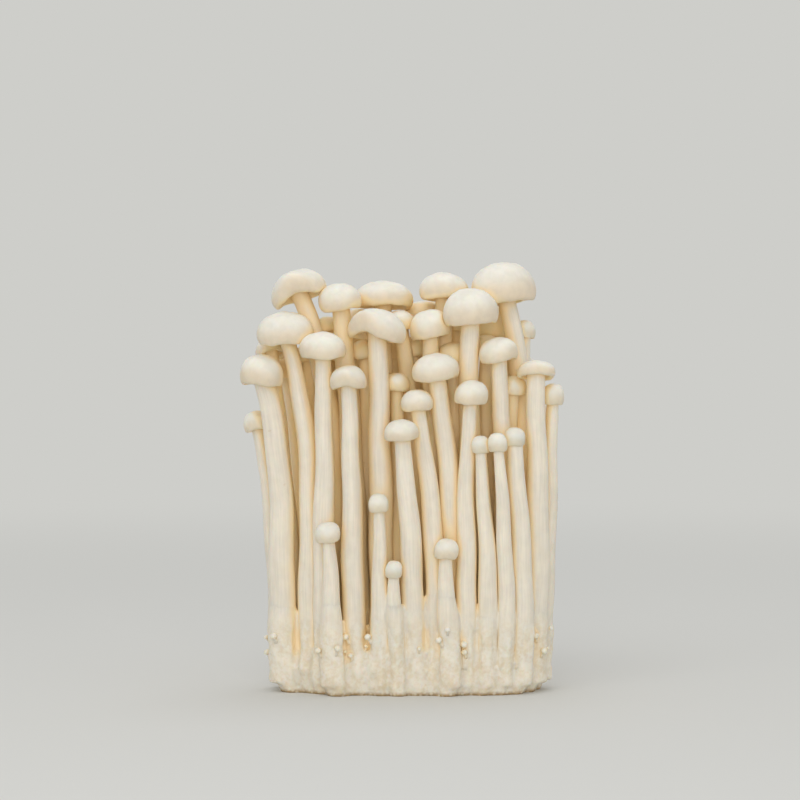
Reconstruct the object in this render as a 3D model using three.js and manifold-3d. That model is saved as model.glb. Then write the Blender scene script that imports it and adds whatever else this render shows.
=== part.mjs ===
// A bunch of white shimeji (beech mushrooms), standing on the cut foot that all its stems grow from.
// Millimetres, +Z up, +X to the right and +Y to the back of the bunch.
// The origin is the middle of the flat cut under the foot.
import * as THREE from "three";
import { mergeVertices } from "three/addons/utils/BufferGeometryUtils.js";
import Module from "manifold-3d";

const wasm = await Module();
wasm.setup();

// ---- driving dimensions ----

// The foot: where the roots of all the stems have grown together, cut off flat.
const foot = {
  width: 88,
  depth: 42,
  height: 19,
  squareness: 2.7, // 2 is an ellipse seen from above, more is nearer a rectangle
  heart: 0.87, // the solid middle between the roots, as a share of the whole
  heartSides: 40,
  rootThick: 1.2, // how much thicker a root is than the end of its stem
  rootSides: 12,
  gather: 0.09, // how much closer the roots stand at the cut, as a share
  gatherTo: 12, // the height where they have spread out
  crumb: 0.06, // detail finer than this is dropped
};

// A mushroom's shape, as shares of its own stem and cap.
const shape = {
  rootHeight: 11, // where the stem line starts, inside the foot
  rootSwell: 0.3, // how much thicker a stem is at its root, as a share
  thinSwell: 0.24, // and how much more than that for each millimetre that it is under fullStem
  fullStem: 6,
  neckSlim: 0.15, // how much slimmer it is right below the cap, as a share
  splay: 0.1, // how far the stems at the foot's edge lean out as they leave it
  hollow: 0.3, // how far the stem's top sits above the cap's lip, as a share of the cap's height
  rimHeight: 0.24, // where the cap is widest, as a share of its height
  arch: 0.04, // how far the rim rises where it arches, as a share of the cap's width, where none is given
  archSpan: 4, // more makes the arch narrower
  pull: 0.36, // how far the stem keeps the direction of its ends, as a share of its length
};

// How the mushrooms make room for each other as they grow.
const growth = {
  rounds: 260,
  gap: 0.25, // clear space between neighbours
  step: 0.45, // share of an overlap that is cleared in one round
  squash: 0.4, // share of a stem's swelling that its neighbours have to make room for
  sideways: 0.22, // how easily a mushroom moves along X, against 1 along Y
  upward: 0.1, // and along Z
  homing: [0.06, 0.02, 0.04], // how strongly a cap is drawn back to its own place along X, Y and Z
  rootHoming: 0.1, // and a root to its own, because roots may grow into each other
};
const carveGap = 0.3; // clear space where one piece is cut to its neighbour
const sliver = 0.03; // detail finer than this is dropped from a cut piece

// Each mushroom: [cap x, cap y, height of the rim, cap width, stem thickness, root x, root y,
// lean of the cap to the right and to the back in degrees, height of the cap as a share of its width,
// where round the cap its rim arches up in degrees (0 right, -90 front), how far as a share of its width,
// lean of the stem to the right where it meets the cap].
const bunch = {
  // the shortest, along the front
  front_mushroom: [
    [-1.8, -16, 80, 10.7, 5.4, 1.5, -13.5, -3, -5, 0.58, 0, 0.02, -6],
    [2.7, -14.5, 88.9, 10, 5, 9.5, -12.5, -4, -4, 0.62, 10, 0.02, -9],
    [-18.4, -14, 95.8, 11.6, 5, -16.3, -12.5, -3, -3, 0.6, -98, 0.14],
    [19.3, -13.5, 91, 10.3, 4.4, 17.2, -12.5, 2, -4, 0.7, 0, 0.03, 6],
    [22.3, -17, 75.8, 5.8, 3.9, 24.2, -14, -2, -5, 0.88, 0, 0, -3],
    [27, -17.5, 76.4, 6, 3.4, 29.3, -13.5, -3, -5, 0.92, 0, 0, -5],
    [32.4, -15, 77.9, 6.8, 5.5, 34.3, -10.5, 2, -4, 0.82, 0, 0, -2],
  ],
  // the tall ones behind them, which show the most
  middle_mushroom: [
    [-45.1, -7, 97.1, 13.8, 6.6, -38.4, -4.5, 2, -3, 0.68, -112, 0.08, -18],
    [-37.3, -2.5, 109.6, 17.3, 5.3, -29.6, -7, -3, -2, 0.57, 0, 0.02, -19],
    [-26.4, -10, 105.3, 14, 5.3, -24.8, -12, -2, -3, 0.58, -140, 0.05],
    [-9.4, -4, 111.2, 18.5, 6.3, -7.5, -9, 7, 3, 0.5, -123, 0.11, -2],
    [8.3, -9, 98.5, 14.3, 6, 14.3, -9, -5, -5, 0.56, -60, 0.03, -9],
    [19.4, -2, 116.5, 17.4, 6.3, 18.2, -6, -2, -5, 0.62, -60, 0.04, 3],
    [27.9, -7.5, 103.9, 11.7, 5.2, 29, -7.5, -8, -3, 0.63, -50, 0.05, -3],
    [39.3, -7.5, 98.4, 11.6, 6.2, 40.4, -4, 1, 12, 0.46, -80, 0.05],
    [6.3, -1, 111.5, 13.2, 5.4, 7.6, -4, -9, -2, 0.66, -60, 0.05, -2],
    [-3.6, -5, 94.3, 8.5, 4.4, -2.5, -7, -2, -6, 0.66, -90, 0.05],
    [44.6, -4, 90.2, 7.2, 4, 42.6, 1.5, 2, 0, 0.92],
    [-46.7, 1, 82, 8.4, 4.4, -39, 3, -14, 4, 0.72],
  ],
  // the highest, whose caps stand over the others
  top_mushroom: [
    [-34.1, 4, 123.2, 18.2, 6.2, -23, 0, -20, 3, 0.5, -95, 0.13, -25],
    [-20.7, 4, 119.8, 13.8, 6.2, -15, -3, -6, -3, 0.6, -50, 0.03],
    [-42.4, 3.5, 105, 10.6, 4.4, -34.5, 0, -6, 18, 0.56, -80, 0.05],
    [-7.6, 9, 120.6, 18, 5.8, -6.5, 2, 2, 4, 0.46, -70, 0.05],
    [-1.7, 3.5, 112.8, 9.6, 5.4, 2.5, 2, -10, 0, 0.66, -90, 0.04],
    [12, 8.5, 122.8, 15.4, 5.8, 12, 3, 2, 2, 0.56, -75, 0.06],
    [29, 5, 122.8, 19.6, 6, 31.5, 0, -8, 2, 0.66, -60, 0.04, -13],
    [36.5, 6, 110.3, 6.5, 3.9, 36, 4, 3, 3, 0.86],
    [-24.8, 10, 112, 8, 4.4, -21, 7, -4, 8, 0.62],
  ],
  // those that the others close in
  inner_mushroom: [
    [-30.6, 5, 103.2, 8.8, 5, -28.6, 5, -4, 0, 0.66],
    [-20, 7, 103, 8, 4.8, -19, 7, 2, 0, 0.66],
    [-14, 4, 104, 9.4, 5.2, -13, 3, -2, 0, 0.66],
    [1.5, 6, 104.8, 9, 5, 0, 6, 2, 0, 0.66],
    [14, 5, 103, 9.6, 5.2, 15, 4, 1, 0, 0.66],
    [24.6, 5, 105.4, 9.4, 5, 23.6, 5, 2, 0, 0.66],
    [34, 1, 93, 8.4, 4.8, 33, 2, 3, 0, 0.68],
  ],
  // those that face the other way
  back_mushroom: [
    [-37.6, 12.5, 97.6, 13, 5.6, -31, 9, -10, 10, 0.6, 110, 0.08],
    [-16, 15.5, 111.6, 14.5, 6, -14, 9.5, -3, 9, 0.58],
    [-27, 16, 85, 10.5, 5, -23, 12, -6, 12, 0.66],
    [-4, 16, 104, 12, 5.4, -5, 11, 1, 7, 0.62, 75, 0.1],
    [5, 14, 114.4, 13.6, 5.6, 4, 9, 1, 6, 0.6],
    [15, 17, 91, 11, 5, 13.5, 12.5, 3, 10, 0.64],
    [25.8, 14, 111.5, 14, 5.6, 22, 9, 3, 7, 0.7, 120, 0.06],
    [35, 13.5, 98, 12, 5.4, 31, 9, 6, 8, 0.62],
    [42, 8.5, 83, 9.5, 4.8, 38, 8, 7, 8, 0.7],
    [8.5, 18.5, 82, 10.5, 4.8, 8, 13, 4, 11, 0.64],
    [16, 13, 112.5, 10.5, 4.8, 15, 8, 2, 4, 0.62],
    [-21, 19, 72, 9.5, 4.6, -18, 14, -3, 11, 0.68],
  ],
  // the young ones low down, which the others have outgrown
  young_mushroom: [
    [-24.5, -17.5, 49, 7.6, 4, -23.5, -15, -6, -9, 0.76],
    [-9, -18, 58, 6.4, 3.6, -8, -15, -3, -7, 0.84],
    [11.5, -18.5, 44, 7.8, 4.2, 12.5, -15, 5, -9, 0.74],
    [-4.5, -19, 38, 5.4, 3.4, -4, -16, 3, -12, 0.9],
    [21.5, 18, 50, 8, 4, 20, 14, 4, 12, 0.74],
    [-13, 19, 58, 8.6, 4.2, -12.5, 14.5, -3, 12, 0.72],
  ],
};

const materialOf = (name, color, roughness) =>
  new THREE.MeshStandardMaterial({ name, color, roughness, metalness: 0 });
const skin = materialOf("mushroom", 0xf1e9d9, 0.55);
const cutFlesh = materialOf("foot", 0xe8dcc3, 0.8);

// ---- mushrooms ----

const up = new THREE.Vector3(0, 0, 1);
const radians = THREE.MathUtils.degToRad;

const leaning = (right, back) =>
  new THREE.Vector3(Math.tan(radians(right)), Math.tan(radians(back)), 1).normalize();

// Turns a row of the list into named sizes and the points that its stem line runs between.
function mushroom(row, index) {
  const [capX, capY, rim, width, stem, rootX, rootY, leanRight, leanBack, height, ...wave] = row;
  const [archAt = index * 137, arch = shape.arch, stemLean = leanRight] = wave;
  const axis = leaning(leanRight, leanBack);
  const capHeight = width * height;
  const overRim = (shape.hollow - shape.rimHeight) * capHeight;
  const neck = new THREE.Vector3(capX, capY, rim).addScaledVector(axis, overRim);
  return {
    axis,
    approach: leaning(stemLean, leanBack / 2),
    capHeight,
    capRadius: width / 2,
    stemRadius: stem / 2,
    neck,
    root: new THREE.Vector3(rootX, rootY, shape.rootHeight),
    bow: new THREE.Vector3(),
    home: neck.clone(),
    rootHome: new THREE.Vector3(rootX, rootY, shape.rootHeight),
    swell: shape.rootSwell + shape.thinSwell * Math.max(0, shape.fullStem - stem),
    archAt: radians(archAt),
    arch: arch * width,
    sides: width < 9 ? 10 : width < 13 ? 12 : 14,
  };
}

// The line up the middle of the stem: it leaves the foot nearly upright, and bends over to meet its cap.
function stemLine(m) {
  const reach = shape.pull * m.root.distanceTo(m.neck);
  const out = new THREE.Vector3((2 * m.root.x) / foot.width, (2 * m.root.y) / foot.depth, 0);
  return new THREE.CubicBezierCurve3(
    m.root,
    m.root.clone().addScaledVector(out.multiplyScalar(shape.splay).add(up), reach).add(m.bow),
    m.neck.clone().addScaledVector(m.approach, -reach).add(m.bow),
    m.neck,
  );
}

// Half the stem's thickness along its line: it slims all the way up, and most right below the cap.
function stemRadiusAt(m, t, swell = m.swell) {
  return m.stemRadius * (1 + swell * (1 - t) - shape.neckSlim * t ** 5);
}

// How far the rim is raised at one angle round the cap: a narrow arch on one side, a little lower elsewhere.
function archHeight(m, angle) {
  return m.arch * (1.6 * Math.exp(shape.archSpan * (Math.cos(angle - m.archAt) - 1)) - 0.4);
}

// Half of a mushroom's outline, as [distance from the axis, height, whether it is on the cap].
function outline(m, length, grow) {
  const R = m.capRadius + grow;
  const H = m.capHeight;
  const lip = length - shape.hollow * H;
  const stem = [0, 0.08, 0.25, 0.45, 0.68, 0.9].map((t) => [stemRadiusAt(m, t) + grow, t * length, false]);
  const neckRadius = stemRadiusAt(m, 1) + grow;
  return [
    [0, 0, false],
    ...stem,
    [neckRadius, length - grow, true],
    [0.84 * R, lip + 0.02 * H - grow, true],
    [0.95 * R, lip - grow, true],
    [R, lip + shape.rimHeight * H, true],
    [0.93 * R, lip + 0.56 * H, true],
    [0.7 * R, lip + 0.83 * H, true],
    [0.38 * R, lip + 0.96 * H + grow / 2, true],
    [0, lip + H + grow, true],
  ];
}

// The outline turned round its axis, then bent along the stem line. The cap keeps its shape.
function mushroomSolid(m, grow = 0) {
  const line = stemLine(m);
  const length = line.getLength();
  const profile = outline(m, length, grow);
  const geometry = new THREE.LatheGeometry(
    profile.map(([r, h]) => new THREE.Vector2(r, h)),
    m.sides,
  ).rotateX(Math.PI / 2);
  const place = geometry.getAttribute("position");
  const point = new THREE.Vector3();
  const turned = new THREE.Quaternion();
  for (let i = 0; i < place.count; i++) {
    point.fromBufferAttribute(place, i);
    const [radius, height, onCap] = profile[i % profile.length];
    const angle = Math.atan2(point.y, point.x);
    const t = onCap ? 1 : height / length;
    const wave = (radius / m.capRadius) ** 2 * archHeight(m, angle);
    point.z = onCap ? height - length + wave : 0;
    turned.setFromUnitVectors(up, onCap ? m.axis : line.getTangentAt(t));
    point.applyQuaternion(turned).add(line.getPointAt(t));
    place.setXYZ(i, point.x, point.y, point.z);
  }
  return solidOf(geometry);
}

// ---- making room ----

// Balls that fill a mushroom, each with its place on the stem line, for finding where two press together.
function ballsOf(m) {
  const line = stemLine(m);
  const count = Math.ceil(m.root.distanceTo(m.neck) / (1.5 * m.stemRadius));
  const balls = [];
  for (let i = 0; i <= count; i++) {
    const t = i / count;
    balls.push({ t, centre: line.getPoint(t), radius: stemRadiusAt(m, t, growth.squash * m.swell) });
  }
  const size = 0.54 * m.capRadius;
  const middle = m.neck.clone().addScaledVector(m.axis, 0.12 * m.capHeight);
  const turned = new THREE.Quaternion().setFromUnitVectors(up, m.axis);
  for (let k = 0; k < 8; k++) {
    const around = new THREE.Vector3(Math.cos((k * Math.PI) / 4), Math.sin((k * Math.PI) / 4), 0);
    around.multiplyScalar(m.capRadius - size).applyQuaternion(turned);
    balls.push({ t: 1, centre: around.add(middle), radius: size });
  }
  const crown = m.neck.clone().addScaledVector(m.axis, (1 - shape.hollow) * m.capHeight - size);
  balls.push({ t: 1, centre: crown, radius: size });
  return balls;
}

// Moves the root, the bow and the neck by their shares of a push at one place on the stem line.
function shove(m, t, push) {
  m.moveRoot.addScaledVector(push, (1 - t) ** 2 * (1 + 2 * t));
  m.moveBow.addScaledVector(push, 3 * t * (1 - t));
  m.moveNeck.addScaledVector(push, t * t * (3 - 2 * t));
}

// One round: every two mushrooms that press together move a little apart, mostly front to back.
function makeRoom(all) {
  for (const m of all) {
    m.balls = ballsOf(m);
    m.moveRoot = new THREE.Vector3();
    m.moveBow = new THREE.Vector3();
    m.moveNeck = new THREE.Vector3();
  }
  const push = new THREE.Vector3();
  all.forEach((a, i) => {
    for (const b of all.slice(i + 1)) {
      for (const p of a.balls) {
        for (const q of b.balls) {
          push.subVectors(p.centre, q.centre);
          const apart = push.length();
          const over = p.radius + q.radius + growth.gap - apart;
          if (over <= 0) continue;
          push.multiplyScalar((growth.step * over) / Math.max(apart, 0.01));
          push.multiply(new THREE.Vector3(growth.sideways, 1, growth.upward));
          shove(a, p.t, push);
          shove(b, q.t, push.negate());
        }
      }
    }
  });
  for (const m of all) {
    m.root.add(limited(m.moveRoot.setZ(0))).lerp(m.rootHome, growth.rootHoming);
    m.bow.add(limited(m.moveBow.setZ(0))).multiply(homeward);
    m.neck.add(limited(m.moveNeck)).sub(m.home).multiply(homeward).add(m.home);
    keepOnFoot(m);
  }
}

const limited = (move) => move.clampLength(0, 0.6);
const homeward = new THREE.Vector3(...growth.homing.map((share) => 1 - share));

// Roots stay on the foot.
function keepOnFoot(m) {
  const x = m.root.x / (foot.width / 2 - 1.6 * m.stemRadius);
  const y = m.root.y / (foot.depth / 2 - 1.6 * m.stemRadius);
  const out = outOfFoot(x, y);
  if (out > 1) m.root.set(m.root.x / out, m.root.y / out, m.root.z);
}

// How far out a place is from the foot's middle, in shares of the way to its edge.
function outOfFoot(x, y) {
  return (Math.abs(x) ** foot.squareness + Math.abs(y) ** foot.squareness) ** (1 / foot.squareness);
}

// ---- the foot ----

// The heart of the foot, flat underneath and domed on top.
function heartSolid(grow) {
  const profile = [
    [0, -grow],
    [0.9, -grow],
    [1, 8],
    [0.94, 14],
    [0.7, 17 + grow],
    [0, 18 + grow],
  ];
  const geometry = new THREE.LatheGeometry(
    profile.map(([r, h]) => new THREE.Vector2(r, h)),
    foot.heartSides,
  ).rotateX(Math.PI / 2);
  const place = geometry.getAttribute("position");
  for (let i = 0; i < place.count; i++) {
    const angle = Math.atan2(place.getY(i), place.getX(i));
    const edge = foot.heart / outOfFoot(Math.cos(angle), Math.sin(angle));
    place.setX(i, place.getX(i) * (edge * foot.width * 0.5 + grow));
    place.setY(i, place.getY(i) * (edge * foot.depth * 0.5 + grow));
  }
  return solidOf(geometry);
}

// The swollen root of one stem, from the cut up to where the stem leaves it.
function rootSolid(m, grow) {
  const thick = foot.rootThick * m.stemRadius * (1 + m.swell);
  const profile = [
    [0, -grow],
    [0.86 * thick + grow, -grow],
    [0.97 * thick + grow, 4],
    [thick + grow, 9],
    [0.95 * thick + grow, 13.5],
    [0.72 * thick + grow, 17 + grow],
    [0, foot.height + grow],
  ];
  const geometry = new THREE.LatheGeometry(
    profile.map(([r, h]) => new THREE.Vector2(r, h)),
    foot.rootSides,
  ).rotateX(Math.PI / 2);
  const place = geometry.getAttribute("position");
  for (let i = 0; i < place.count; i++) {
    const gathered = 1 - foot.gather * Math.max(0, 1 - place.getZ(i) / foot.gatherTo);
    place.setX(i, place.getX(i) + gathered * m.root.x);
    place.setY(i, place.getY(i) + gathered * m.root.y);
  }
  return solidOf(geometry);
}

function footSolid(all, grow = 0) {
  const roots = all.map((m) => rootSolid(m, grow));
  return wasm.Manifold.union([heartSolid(grow), ...roots]).asOriginal().simplify(foot.crumb);
}

// ---- solids and meshes ----

// A closed three.js geometry as a solid that can be cut.
function solidOf(geometry) {
  geometry.deleteAttribute("normal");
  geometry.deleteAttribute("uv");
  const merged = mergeVertices(geometry, 1e-3);
  return new wasm.Manifold(
    new wasm.Mesh({
      numProp: 3,
      vertProperties: merged.getAttribute("position").array,
      triVerts: new Uint32Array(merged.index.array),
    }),
  );
}

// The solid without what its neighbours take, and without the crumbs and slivers that the cuts leave.
function cutClear(solid, neighbours) {
  for (const { raw, grown } of neighbours) {
    if (solid.intersect(raw).volume() > 0) solid = solid.subtract(grown);
  }
  const largest = solid.decompose().reduce((a, b) => (a.volume() > b.volume() ? a : b));
  return largest.asOriginal().simplify(sliver);
}

function meshOf(name, solid, material) {
  const { numProp, vertProperties, triVerts } = solid.getMesh();
  const place = new THREE.BufferAttribute(vertProperties, numProp);
  const geometry = new THREE.BufferGeometry().setAttribute("position", place);
  geometry.setIndex(new THREE.BufferAttribute(triVerts, 1));
  geometry.computeVertexNormals();
  const mesh = new THREE.Mesh(geometry, material);
  mesh.name = name;
  return mesh;
}

// ---- the bunch ----

const mushrooms = Object.entries(bunch).flatMap(([kind, rows]) =>
  rows.map((row, i) => ({ name: `${kind}_${i + 1}`, ...mushroom(row, i) })),
);
for (let round = 0; round < growth.rounds; round++) makeRoom(mushrooms);

const group = new THREE.Group();
const placed = [{ raw: footSolid(mushrooms), grown: footSolid(mushrooms, carveGap) }];
group.add(meshOf("joined_foot", placed[0].raw, cutFlesh));
for (const m of mushrooms) {
  const raw = mushroomSolid(m);
  group.add(meshOf(m.name, cutClear(raw, placed), skin));
  placed.push({ raw, grown: mushroomSolid(m, carveGap) });
}

export default group;
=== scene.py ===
import math

import bmesh
import bpy
import numpy as np
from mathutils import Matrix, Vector
from mathutils.bvhtree import BVHTree


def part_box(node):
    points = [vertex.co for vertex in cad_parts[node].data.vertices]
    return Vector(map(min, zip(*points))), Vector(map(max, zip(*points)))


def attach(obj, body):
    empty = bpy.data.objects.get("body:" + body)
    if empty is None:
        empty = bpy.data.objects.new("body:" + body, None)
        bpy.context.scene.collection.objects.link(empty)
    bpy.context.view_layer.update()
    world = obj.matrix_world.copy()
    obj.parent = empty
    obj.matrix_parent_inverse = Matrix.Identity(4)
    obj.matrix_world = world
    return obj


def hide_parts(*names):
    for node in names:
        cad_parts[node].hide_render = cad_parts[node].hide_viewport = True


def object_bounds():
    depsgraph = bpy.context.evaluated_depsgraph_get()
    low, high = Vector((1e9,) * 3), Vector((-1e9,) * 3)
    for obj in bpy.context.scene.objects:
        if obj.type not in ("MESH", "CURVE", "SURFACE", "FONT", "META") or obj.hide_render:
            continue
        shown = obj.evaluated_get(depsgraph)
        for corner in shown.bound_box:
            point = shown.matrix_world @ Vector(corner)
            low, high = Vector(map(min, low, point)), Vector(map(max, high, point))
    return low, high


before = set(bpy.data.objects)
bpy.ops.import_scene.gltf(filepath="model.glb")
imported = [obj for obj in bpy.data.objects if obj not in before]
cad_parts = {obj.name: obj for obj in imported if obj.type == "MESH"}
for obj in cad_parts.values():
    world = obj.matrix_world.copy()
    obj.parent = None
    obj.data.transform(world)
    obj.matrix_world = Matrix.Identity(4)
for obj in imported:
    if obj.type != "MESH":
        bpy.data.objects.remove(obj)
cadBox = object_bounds()
metre = 0.001  # sizes are in millimetres until a mesh is made
footNode = "joined_foot"
growOrder = ["front", "middle", "top", "inner", "back", "young"]  # a later one gives way to an earlier one
mushroomNodes = sorted((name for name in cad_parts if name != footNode),
                       key=lambda name: (growOrder.index(name.split("_")[0]), name))
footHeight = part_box(footNode)[1].z / metre
print("frame loaded:", len(mushroomNodes), "mushrooms on one foot")

# reading each mushroom's line, thickness and cap from its solid
reading = {
    "sliceStep": 1.0,
    "overFoot": 1.5,  # the first slice is this far above the foot
    "underTop": 0.3,  # and the last one this far under the cap's top
    "fewestSlices": 6,
    "capReach": 12.0,  # the cap's widest slice is no further than this below its top
    "lipShare": 0.8,  # a slice narrower than this share of the widest one is under the cap
    "settled": 0.955,  # and one that shrinks no faster than this from the slice above is all stem
    "circleTurns": 60,
    "fitTurns": 6,
    "bend": 5,  # order of the curve fitted to the middle of the slices
    "bendSlack": 0.15,
    "taper": 3,  # and of the one fitted to their radius
    "taperSlack": 0.08,
    "capPointsFrom": -1.0,  # vertices lower than this against the top of the stem are left out of the cap
    "widestPoints": 4,  # their mean distance from the axis is the first guess of the cap's radius
    "capStart": 0.6,  # vertices nearer the axis than this share, and lower in the cap, belong to the stem
    "lipGuesses": [0, 0.12, 0.24, 0.36],  # how much of the cap's height is still stem
    "archGuesses": [-1.6, 0.5, 2.6],  # the side that the rim's arch points to
    "archGuess": 0.3,  # how high it is
    "nudge": 1e-4,  # how far each number of a guess is moved to see what that changes
    "steadying": 0.05,  # keeps the steps of the fit small
    "turns": 16,
    "looseTurns": 7,
    "looseSlack": 0.4,  # a vertex that is further off than this hardly counts
    "tightSlack": 0.12,  # and this in the last turns
    "seed": 29,
}
# the solid cap's outline, as shares of its radius and its height
solidCap = np.array([[0.84, 0.02], [0.95, 0], [1, 0.24], [0.93, 0.56], [0.7, 0.83], [0.38, 0.96], [0, 1]])


def trianglesOf(node):
    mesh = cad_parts[node].data
    points = np.empty(len(mesh.vertices) * 3)
    mesh.vertices.foreach_get("co", points)
    mesh.calc_loop_triangles()
    corners = np.empty(len(mesh.loop_triangles) * 3, int)
    mesh.loop_triangles.foreach_get("vertices", corners)
    return points.reshape(-1, 3)[corners].reshape(-1, 3, 3) / metre


# the points where the solid's skin crosses one height
def sliceAt(triangles, height):
    over = triangles[:, :, 2] - height
    above = over > 0
    count = above.sum(1)
    cut = (count == 1) | (count == 2)
    triangles, over, above, count = triangles[cut], over[cut], above[cut], count[cut]
    lone = np.where(count == 1, above.argmax(1), (~above).argmax(1))
    row = np.arange(len(triangles))
    ends = []
    for step in (1, 2):
        other = (lone + step) % 3
        share = over[row, lone] / (over[row, lone] - over[row, other])
        ends.append(triangles[row, lone] + share[:, None] * (triangles[row, other] - triangles[row, lone]))
    return np.vstack(ends)[:, :2]


# the smallest circle round some points: it stays the same where a neighbour has bitten into a stem
def circleRound(points):
    low, high = points.min(0), points.max(0)
    middle = (low + high) / 2
    for turn in range(reading["circleTurns"]):
        away = points - middle
        far = np.hypot(away[:, 0], away[:, 1]).argmax()
        middle = middle + away[far] / (turn + 4)
    away = points - middle
    return middle, np.hypot(away[:, 0], away[:, 1]).max()


# a polynomial that leaves out the places where a neighbour has bitten into the stem
def steadyFit(heights, values, order, slack):
    weights = np.ones(len(heights))
    for turn in range(reading["fitTurns"]):
        fit = np.polynomial.Polynomial.fit(heights, values, order, w=weights)
        weights = 1 / (1 + ((values - fit(heights)) / slack) ** 2)
    return fit


def readStem(triangles):
    top = triangles[:, :, 2].max() - reading["underTop"]
    heights = np.arange(footHeight + reading["overFoot"], top, reading["sliceStep"])
    circles = [circleRound(sliceAt(triangles, height)) for height in heights]
    middles = np.array([middle for middle, radius in circles])
    radii = np.array([radius for middle, radius in circles])
    near = heights > heights[-1] - reading["capReach"]
    widest = np.flatnonzero(near)[radii[near].argmax()]
    last = widest
    while last > reading["fewestSlices"] and radii[last] > reading["lipShare"] * radii[widest]:
        last -= 1
    while last > reading["fewestSlices"] and radii[last - 1] < reading["settled"] * radii[last]:
        last -= 1
    heights, middles, radii = heights[:last], middles[:last], radii[:last]
    lineX = steadyFit(heights, middles[:, 0], reading["bend"], reading["bendSlack"])
    lineY = steadyFit(heights, middles[:, 1], reading["bend"], reading["bendSlack"])
    slope = np.hypot(lineX.deriv()(heights), lineY.deriv()(heights))
    thickness = steadyFit(heights, radii / np.hypot(1, slope), reading["taper"], reading["taperSlack"])
    return {"x": lineX, "y": lineY, "radius": thickness, "top": heights[-1]}


def directionsOf(leanX, leanY):
    axis = np.array([leanX, leanY, 1.0])
    axis /= np.linalg.norm(axis)
    side = np.cross([0, 1.0, 0], axis)
    side /= np.linalg.norm(side)
    return side, np.cross(axis, side), axis


# how a rim arches up on one side and sinks a little on the others
rimArch = {"swing": 1.6, "narrowness": 4, "sink": 0.4}


# how far the rim is raised round the cap: an arch's length is its height, and it points to its own side
def archHeight(around, arch):
    height, side = np.hypot(*arch), np.arctan2(arch[1], arch[0])
    bulge = np.exp(rimArch["narrowness"] * (np.cos(around - side) - 1))
    return height * (rimArch["swing"] * bulge - rimArch["sink"])


# how far the cap's vertices lie from the outline that a guess gives
def capMisfit(guess, points):
    side, back, axis = directionsOf(guess[3], guess[4])
    radius, height = guess[5], guess[6]
    away = points - guess[:3]
    x, y, z = away @ side, away @ back, away @ axis
    around = np.arctan2(y, x)
    out = np.hypot(x, y)
    z = z - (out / radius) ** 2 * archHeight(around, guess[7:9])
    place = np.stack([out, z], 1)
    outline = solidCap * [radius, height]
    nearest = outline[((place[:, None] - outline[None]) ** 2).sum(2).argmin(1)]
    own = (out > reading["capStart"] * radius) | (z > reading["capStart"] * height)
    return (place - nearest) * own[:, None]


# the cap's place, lean, size and the wave of its rim, by least squares from one first guess
def fitCap(guess, points):
    for turn in range(reading["turns"]):
        misfit = capMisfit(guess, points)
        slack = reading["looseSlack"] if turn < reading["looseTurns"] else reading["tightSlack"]
        weight = np.repeat(1 / (1 + (misfit ** 2).sum(1) / slack ** 2), 2)
        change = []
        for i in range(len(guess)):
            nudged = guess.copy()
            nudged[i] += reading["nudge"]
            change.append((capMisfit(nudged, points) - misfit).ravel() / reading["nudge"])
        steadying = reading["steadying"] * np.eye(len(guess))
        matrix = np.vstack([np.array(change).T * weight[:, None], steadying])
        target = np.append(-misfit.ravel() * weight, np.zeros(len(guess)))
        guess = guess + np.linalg.lstsq(matrix, target, rcond=None)[0]
    distance = np.linalg.norm(capMisfit(guess, points), axis=1)
    return np.log(1 + (distance / reading["tightSlack"]) ** 2).sum(), guess


def readCap(triangles, stem):
    points = np.unique(triangles.reshape(-1, 3).round(3), axis=0)
    top = np.array([stem["x"](stem["top"]), stem["y"](stem["top"]), stem["top"]])
    line = np.array([stem["x"].deriv()(stem["top"]), stem["y"].deriv()(stem["top"]), 1.0])
    line /= np.linalg.norm(line)
    along = (points - top) @ line
    away = np.linalg.norm(points - top - along[:, None] * line, axis=1)
    kept = along > reading["capPointsFrom"]
    points, away, along = points[kept], away[kept], along[kept]
    radius, height = np.sort(away)[-reading["widestPoints"]:].mean(), along.max()
    fits = []
    for skipped in reading["lipGuesses"]:
        start = top + line * skipped * height
        lean = line[:2] / line[2]
        size = [radius, (1 - skipped) * height]
        for side in reading["archGuesses"]:
            arch = [reading["archGuess"] * math.cos(side), reading["archGuess"] * math.sin(side)]
            fits.append(fitCap(np.array([*start, *lean, *size, *arch]), points))
    guess = min(fits, key=lambda fit: fit[0])[1]
    side, back, axis = directionsOf(guess[3], guess[4])
    return {
        "middle": guess[:3],  # on the cap's axis, level with its lip
        "side": side,
        "back": back,
        "axis": axis,
        "radius": guess[5],
        "height": guess[6],
        "arch": guess[7:9],
    }


chance = np.random.default_rng(reading["seed"])
mushrooms = []
for node in mushroomNodes:
    triangles = trianglesOf(node)
    stem = readStem(triangles)
    cap = readCap(triangles, stem)
    mushrooms.append({"node": node, "stem": stem, "cap": cap, "seed": chance.uniform(0, 90)})
print("solids read")


# a value that changes smoothly from 0 to 1 between two limits
def easeBetween(low, high, value):
    share = np.clip((value - low) / (high - low), 0, 1)
    return share * share * (3 - 2 * share)


# a colour as it is seen on a screen, from 0 to 255, as the linear colour that a shader takes
def shade(red, green, blue):
    levels = np.array([red, green, blue]) / 255
    linear = np.where(levels <= 0.04045, levels / 12.92, ((levels + 0.055) / 1.055) ** 2.4)
    return (*linear, 1)


def addNode(tree, kind, inputs=None, **settings):
    node = tree.nodes.new(kind)
    for name, value in settings.items():
        setattr(node, name, value)
    for name, value in (inputs or {}).items():
        if isinstance(value, bpy.types.NodeSocket):
            tree.links.new(value, node.inputs[name])
        else:
            node.inputs[name].default_value = value
    return node


# one number worked out from the others, one after the other
def sumNode(tree, operation, *values):
    total = values[0]
    for i in range(1, max(len(values), 2)):
        inputs = dict(enumerate((total, *values[i:i + 1])))
        total = addNode(tree, "ShaderNodeMath", inputs, operation=operation).outputs[0]
    return total


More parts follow.
